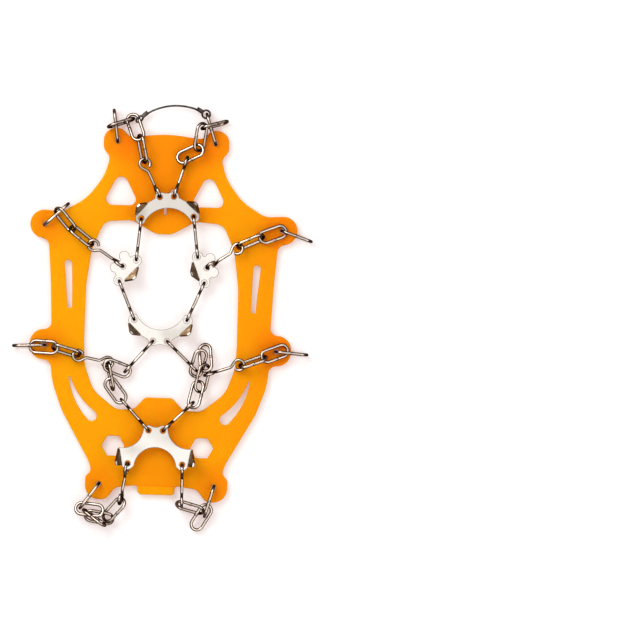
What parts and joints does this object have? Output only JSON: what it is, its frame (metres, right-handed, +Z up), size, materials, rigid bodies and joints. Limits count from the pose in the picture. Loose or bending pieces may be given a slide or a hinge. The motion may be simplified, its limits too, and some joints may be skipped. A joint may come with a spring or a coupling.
{
  "type": "instep crampon",
  "caption": "Stretch harness with lugs, chain links and toothed steel plates that pulls over a boot for grip on ice and packed snow.",
  "frame": {"origin": "on the floor under the middle of the foot opening, with the teeth up", "axes": "+Y towards the toe, along the longest side; +Z up, along the teeth; +X to the right seen from above"},
  "size_m": [0.1488, 0.2129, 0.016],
  "materials": {
    "harness": "satin translucent elastomer",
    "plate": "bright satin",
    "chain": "polished",
    "cable": "dark bare wire"
  },
  "bodies": {
    "harness": {"harness": "harness"},
    "front_plate": {"front_plate": "plate"},
    "mid_plate": {"mid_plate": "plate"},
    "left_plate": {"left_plate": "plate"},
    "right_plate": {"right_plate": "plate"},
    "heel_plate": {"heel_plate": "plate"},
    "toe_left_lug_link": {"toe_left_lug_link": "chain"},
    "toe_left_link_1": {"toe_left_link_1": "chain"},
    "toe_left_link_2": {"toe_left_link_2": "chain"},
    "toe_left_link_3": {"toe_left_link_3": "chain"},
    "toe_left_connector": {"toe_left_connector": "chain"},
    "toe_right_lug_link": {"toe_right_lug_link": "chain"},
    "toe_right_link_1": {"toe_right_link_1": "chain"},
    "toe_right_link_2": {"toe_right_link_2": "chain"},
    "toe_right_link_3": {"toe_right_link_3": "chain"},
    "toe_right_connector": {"toe_right_connector": "chain"},
    "ball_left_lug_link": {"ball_left_lug_link": "chain"},
    "ball_left_link_1": {"ball_left_link_1": "chain"},
    "ball_left_link_2": {"ball_left_link_2": "chain"},
    "ball_left_connector": {"ball_left_connector": "chain"},
    "ball_right_lug_link": {"ball_right_lug_link": "chain"},
    "ball_right_link_1": {"ball_right_link_1": "chain"},
    "ball_right_link_2": {"ball_right_link_2": "chain"},
    "ball_right_connector": {"ball_right_connector": "chain"},
    "front_left_connector": {"front_left_connector": "chain"},
    "front_right_connector": {"front_right_connector": "chain"},
    "arch_left_connector": {"arch_left_connector": "chain"},
    "arch_right_connector": {"arch_right_connector": "chain"},
    "instep_left_lug_link": {"instep_left_lug_link": "chain"},
    "instep_left_link_1": {"instep_left_link_1": "chain"},
    "instep_left_link_2": {"instep_left_link_2": "chain"},
    "instep_left_connector": {"instep_left_connector": "chain"},
    "mid_left_connector": {"mid_left_connector": "chain"},
    "mid_left_link": {"mid_left_link": "chain"},
    "hub_left_link": {"hub_left_link": "chain"},
    "heel_left_link": {"heel_left_link": "chain"},
    "heel_left_connector": {"heel_left_connector": "chain"},
    "instep_right_lug_link": {"instep_right_lug_link": "chain"},
    "instep_right_link_1": {"instep_right_link_1": "chain"},
    "instep_right_link_2": {"instep_right_link_2": "chain"},
    "instep_right_connector": {"instep_right_connector": "chain"},
    "mid_right_connector": {"mid_right_connector": "chain"},
    "mid_right_link_2": {"mid_right_link_2": "chain"},
    "mid_right_link_1": {"mid_right_link_1": "chain"},
    "hub_right_link": {"hub_right_link": "chain"},
    "heel_right_link": {"heel_right_link": "chain"},
    "heel_right_connector": {"heel_right_connector": "chain"},
    "back_left_lug_link": {"back_left_lug_link": "chain"},
    "back_left_link_1": {"back_left_link_1": "chain"},
    "back_left_link_2": {"back_left_link_2": "chain"},
    "back_left_link_3": {"back_left_link_3": "chain"},
    "back_left_link_4": {"back_left_link_4": "chain"},
    "back_left_connector": {"back_left_connector": "chain"},
    "back_right_lug_link": {"back_right_lug_link": "chain"},
    "back_right_link_1": {"back_right_link_1": "chain"},
    "back_right_link_2": {"back_right_link_2": "chain"},
    "back_right_connector": {"back_right_connector": "chain"},
    "toe_wire": {"toe_wire": "cable"}
  },
  "joints": [
    {"name": "toe_left_lug_link_roll", "type": "hinge", "parent": "harness", "child": "toe_left_lug_link", "pos_m": [-0.02553, 0.09383, 0.0042], "axis": [-0.1392, 0.9903, 0], "range_deg": [-6, 6]},
    {"name": "toe_left_link_1_roll", "type": "hinge", "parent": "harness", "child": "toe_left_link_1", "pos_m": [-0.023, 0.0955, 0.0055], "axis": [0.8823, 0.2941, -0.3676], "range_deg": [-1, 5]},
    {"name": "toe_left_link_2_roll", "type": "hinge", "parent": "harness", "child": "toe_left_link_2", "pos_m": [-0.01575, 0.0935, 0.00525], "axis": [0.3313, -0.8835, 0.3313], "range_deg": [-4, 3]},
    {"name": "toe_left_link_3_roll", "type": "hinge", "parent": "harness", "child": "toe_left_link_3", "pos_m": [-0.012, 0.08275, 0.008], "axis": [0.2169, -0.9762, 0], "range_deg": [-4, 14]},
    {"name": "toe_left_connector_roll", "type": "hinge", "parent": "harness", "child": "toe_left_connector", "pos_m": [-0.00711, 0.06839, 0.00816], "axis": [0.4348, -0.9004, 0.0138], "range_deg": [-8, 10]},
    {"name": "toe_right_lug_link_roll", "type": "hinge", "parent": "harness", "child": "toe_right_lug_link", "pos_m": [0.02221, 0.09354, 0.0042], "axis": [-0.309, 0.9511, 0], "range_deg": [-3, 6]},
    {"name": "toe_right_link_1_roll", "type": "hinge", "parent": "harness", "child": "toe_right_link_1", "pos_m": [0.02375, 0.09575, 0.00575], "axis": [0.8867, 0.2483, -0.3901], "range_deg": [-3, 14]},
    {"name": "toe_right_link_2_roll", "type": "hinge", "parent": "harness", "child": "toe_right_link_2", "pos_m": [0.017, 0.0895, 0.008], "axis": [-0.1411, -0.9875, -0.0705], "range_deg": [-1, 6]},
    {"name": "toe_right_link_3_roll", "type": "hinge", "parent": "harness", "child": "toe_right_link_3", "pos_m": [0.012, 0.081, 0.0075], "axis": [-0.8847, -0.4423, -0.1474], "range_deg": [-5, 4]},
    {"name": "toe_right_connector_roll", "type": "hinge", "parent": "harness", "child": "toe_right_connector", "pos_m": [0.00767, 0.06936, 0.00791], "axis": [-0.2984, -0.9537, 0.0369], "range_deg": [-9, 11]},
    {"name": "ball_left_lug_link_roll", "type": "hinge", "parent": "harness", "child": "ball_left_lug_link", "pos_m": [-0.05389, 0.04885, 0.0042], "axis": [0.7314, 0.682, 0], "range_deg": [-2, 6]},
    {"name": "ball_left_link_1_roll", "type": "hinge", "parent": "harness", "child": "ball_left_link_1", "pos_m": [-0.0495, 0.04625, 0.0075], "axis": [0.6508, -0.7593, 0], "range_deg": [-5, 7]},
    {"name": "ball_left_link_2_roll", "type": "hinge", "parent": "harness", "child": "ball_left_link_2", "pos_m": [-0.041, 0.03825, 0.0075], "axis": [0.7913, -0.6114, 0], "range_deg": [-5, 7]},
    {"name": "ball_left_connector_roll", "type": "hinge", "parent": "harness", "child": "ball_left_connector", "pos_m": [-0.02851, 0.02951, 0.00674], "axis": [0.83, -0.5533, -0.0703], "range_deg": [-7, 8]},
    {"name": "ball_right_lug_link_roll", "type": "hinge", "parent": "harness", "child": "ball_right_lug_link", "pos_m": [0.06632, 0.04145, 0.0042], "axis": [0.9483, -0.3173, 0], "range_deg": [-6, 6]},
    {"name": "ball_right_link_1_roll", "type": "hinge", "parent": "harness", "child": "ball_right_link_1", "pos_m": [0.0545, 0.042, 0.006], "axis": [-0.9239, -0.3553, 0.1421], "range_deg": [-5, 2]},
    {"name": "ball_right_link_2_roll", "type": "hinge", "parent": "harness", "child": "ball_right_link_2", "pos_m": [0.0435, 0.038, 0.0075], "axis": [-0.908, -0.4191, 0], "range_deg": [-2, 2]},
    {"name": "ball_right_connector_roll", "type": "hinge", "parent": "harness", "child": "ball_right_connector", "pos_m": [0.03069, 0.02992, 0.00694], "axis": [-0.8273, -0.5545, -0.0894], "range_deg": [-2, 2]},
    {"name": "front_left_connector_roll", "type": "hinge", "parent": "harness", "child": "front_left_connector", "pos_m": [-0.01243, 0.03747, 0.00715], "axis": [-0.09, -0.9901, -0.1078], "range_deg": [-7, 6]},
    {"name": "front_right_connector_roll", "type": "hinge", "parent": "harness", "child": "front_right_connector", "pos_m": [0.01598, 0.03954, 0.00715], "axis": [0.1266, -0.9855, -0.1128], "range_deg": [-14, 14]},
    {"name": "arch_left_connector_roll", "type": "hinge", "parent": "harness", "child": "arch_left_connector", "pos_m": [-0.01755, 0.00692, 0.0051], "axis": [0.3874, -0.918, -0.0849], "range_deg": [-10, 9]},
    {"name": "arch_right_connector_roll", "type": "hinge", "parent": "harness", "child": "arch_right_connector", "pos_m": [0.01691, 0.00715, 0.0051], "axis": [-0.3918, -0.9162, -0.0847], "range_deg": [-9, 9]},
    {"name": "instep_left_lug_link_roll", "type": "hinge", "parent": "harness", "child": "instep_left_lug_link", "pos_m": [-0.06549, -0.01709, 0.0042], "axis": [-0.9986, -0.0523, 0], "range_deg": [-6, 3]},
    {"name": "instep_left_link_1_roll", "type": "hinge", "parent": "harness", "child": "instep_left_link_1", "pos_m": [-0.05825, -0.01775, 0.006], "axis": [0.9885, -0.0366, 0.1465], "range_deg": [-4, 3]},
    {"name": "instep_left_link_2_roll", "type": "hinge", "parent": "harness", "child": "instep_left_link_2", "pos_m": [-0.047, -0.01925, 0.0075], "axis": [0.9656, -0.26, 0], "range_deg": [-2, 2]},
    {"name": "instep_left_connector_roll", "type": "hinge", "parent": "harness", "child": "instep_left_connector", "pos_m": [-0.0335, -0.023, 0.00525], "axis": [0.9576, -0.1915, -0.2154], "range_deg": [-6, 6]},
    {"name": "mid_left_connector_roll", "type": "hinge", "parent": "harness", "child": "mid_left_connector", "pos_m": [-0.01063, -0.02106, 0.0041], "axis": [0.6502, 0.7597, 0.0099], "range_deg": [-13, 13]},
    {"name": "mid_left_link_roll", "type": "hinge", "parent": "harness", "child": "mid_left_link", "pos_m": [-0.02125, -0.02725, 0.005], "axis": [0.9178, -0.3304, -0.2203], "range_deg": [-2, 6]},
    {"name": "hub_left_link_roll", "type": "hinge", "parent": "harness", "child": "hub_left_link", "pos_m": [-0.0245, -0.03125, 0.0045], "axis": [0.2164, -0.9736, 0.0721], "range_deg": [-14, 3]},
    {"name": "heel_left_link_roll", "type": "hinge", "parent": "harness", "child": "heel_left_link", "pos_m": [-0.02175, -0.0385, 0.005], "axis": [0.6052, -0.7832, 0.1424], "range_deg": [-11, 13]},
    {"name": "heel_left_connector_roll", "type": "hinge", "parent": "harness", "child": "heel_left_connector", "pos_m": [-0.01175, -0.05026, 0.00691], "axis": [0.6767, -0.7244, 0.132], "range_deg": [-11, 11]},
    {"name": "instep_right_lug_link_roll", "type": "hinge", "parent": "harness", "child": "instep_right_lug_link", "pos_m": [0.06548, -0.01722, 0.0042], "axis": [0.9976, -0.0698, 0], "range_deg": [-6, 6]},
    {"name": "instep_right_link_1_roll", "type": "hinge", "parent": "harness", "child": "instep_right_link_1", "pos_m": [0.05725, -0.0175, 0.00625], "axis": [-0.9129, -0.3651, 0.1826], "range_deg": [-5, 5]},
    {"name": "instep_right_link_2_roll", "type": "hinge", "parent": "harness", "child": "instep_right_link_2", "pos_m": [0.0465, -0.022, 0.00775], "axis": [-0.9327, -0.3587, 0.0359], "range_deg": [-8, 3]},
    {"name": "instep_right_connector_roll", "type": "hinge", "parent": "harness", "child": "instep_right_connector", "pos_m": [0.03225, -0.02625, 0.0055], "axis": [-0.9312, -0.3104, -0.191], "range_deg": [-11, 5]},
    {"name": "mid_right_connector_roll", "type": "hinge", "parent": "harness", "child": "mid_right_connector", "pos_m": [0.0109, -0.02025, 0.00384], "axis": [-0.7243, 0.6886, 0.0345], "range_deg": [-8, 5]},
    {"name": "mid_right_link_2_roll", "type": "hinge", "parent": "harness", "child": "mid_right_link_2", "pos_m": [0.01925, -0.0235, 0.003], "axis": [-0.2538, -0.9425, -0.2175], "range_deg": [-2, 1]},
    {"name": "mid_right_link_1_roll", "type": "hinge", "parent": "harness", "child": "mid_right_link_1", "pos_m": [0.02275, -0.02075, 0.0035], "axis": [0.1059, -0.9534, 0.2825], "range_deg": [-7, 4]},
    {"name": "hub_right_link_roll", "type": "hinge", "parent": "harness", "child": "hub_right_link", "pos_m": [0.0215, -0.031, 0.00475], "axis": [-0.2094, -0.9772, -0.0349], "range_deg": [-1, 2]},
    {"name": "heel_right_link_roll", "type": "hinge", "parent": "harness", "child": "heel_right_link", "pos_m": [0.0185, -0.03925, 0.0055], "axis": [-0.212, -0.954, 0.212], "range_deg": [-8, 2]},
    {"name": "heel_right_connector_roll", "type": "hinge", "parent": "harness", "child": "heel_right_connector", "pos_m": [0.00998, -0.05046, 0.00741], "axis": [-0.7072, -0.7019, 0.0852], "range_deg": [-3, 10]},
    {"name": "back_left_lug_link_roll", "type": "hinge", "parent": "harness", "child": "back_left_lug_link", "pos_m": [-0.03315, -0.09129, 0.0042], "axis": [-0.5878, -0.809, 0], "range_deg": [-4, 6]},
    {"name": "back_left_link_1_roll", "type": "hinge", "parent": "harness", "child": "back_left_link_1", "pos_m": [-0.033, -0.09825, 0.00575], "axis": [0.979, -0.1049, 0.1748], "range_deg": [-2, 3]},
    {"name": "back_left_link_2_roll", "type": "hinge", "parent": "harness", "child": "back_left_link_2", "pos_m": [-0.0305, -0.10225, 0.00675], "axis": [0.7513, -0.5426, 0.3757], "range_deg": [-14, 4]},
    {"name": "back_left_link_3_roll", "type": "hinge", "parent": "harness", "child": "back_left_link_3", "pos_m": [-0.028, -0.102, 0.0035], "axis": [0.9855, -0.1516, -0.0758], "range_deg": [-5, 6]},
    {"name": "back_left_link_4_roll", "type": "hinge", "parent": "harness", "child": "back_left_link_4", "pos_m": [-0.02075, -0.098, 0.00475], "axis": [0.6502, 0.7528, 0.1027], "range_deg": [-6, 6]},
    {"name": "back_left_connector_roll", "type": "hinge", "parent": "harness", "child": "back_left_connector", "pos_m": [-0.01631, -0.08486, 0.0064], "axis": [0.162, 0.97, 0.1813], "range_deg": [-1, 11]},
    {"name": "back_right_lug_link_roll", "type": "hinge", "parent": "harness", "child": "back_right_lug_link", "pos_m": [0.02676, -0.09241, 0.0042], "axis": [-0.2756, -0.9613, 0], "range_deg": [-6, 3]},
    {"name": "back_right_link_1_roll", "type": "hinge", "parent": "harness", "child": "back_right_link_1", "pos_m": [0.023, -0.1005, 0.0035], "axis": [-0.5026, -0.8615, -0.0718], "range_deg": [-5, 2]},
    {"name": "back_right_link_2_roll", "type": "hinge", "parent": "harness", "child": "back_right_link_2", "pos_m": [0.01725, -0.09575, 0.0045], "axis": [-0.9655, 0.2503, -0.0715], "range_deg": [-5, 3]},
    {"name": "back_right_connector_roll", "type": "hinge", "parent": "harness", "child": "back_right_connector", "pos_m": [0.01285, -0.08496, 0.00713], "axis": [-0.0149, 0.9936, 0.1116], "range_deg": [-12, 9]},
    {"name": "front_plate_rock", "type": "hinge", "parent": "harness", "child": "front_plate", "pos_m": [0.0013, 0.054, 0.0083], "axis": [0.9982, 0.0593, 0], "range_deg": [-2, 2]},
    {"name": "mid_plate_rock", "type": "hinge", "parent": "harness", "child": "mid_plate", "pos_m": [-0.0003, -0.0079, 0.0042], "axis": [-1, -0.0087, 0], "range_deg": [-2, 2]},
    {"name": "left_plate_rock", "type": "hinge", "parent": "harness", "child": "left_plate", "pos_m": [-0.0198, 0.0237, 0.006], "axis": [0.9171, -0.3987, 0], "range_deg": [-2, 2]},
    {"name": "right_plate_rock", "type": "hinge", "parent": "harness", "child": "right_plate", "pos_m": [0.022, 0.0241, 0.006], "axis": [0.9997, 0.0244, 0], "range_deg": [-2, 2]},
    {"name": "heel_plate_rock", "type": "hinge", "parent": "harness", "child": "heel_plate", "pos_m": [-0.001, -0.0662, 0.0083], "axis": [1, 0.0052, 0], "range_deg": [-0.6, 1.2]},
    {"name": "toe_wire_swing", "type": "hinge", "parent": "harness", "child": "toe_wire", "pos_m": [-0.0138, 0.0976, 0.004], "axis": [0.9948, 0.1019, 0], "range_deg": [-7, 14]}
  ]
}
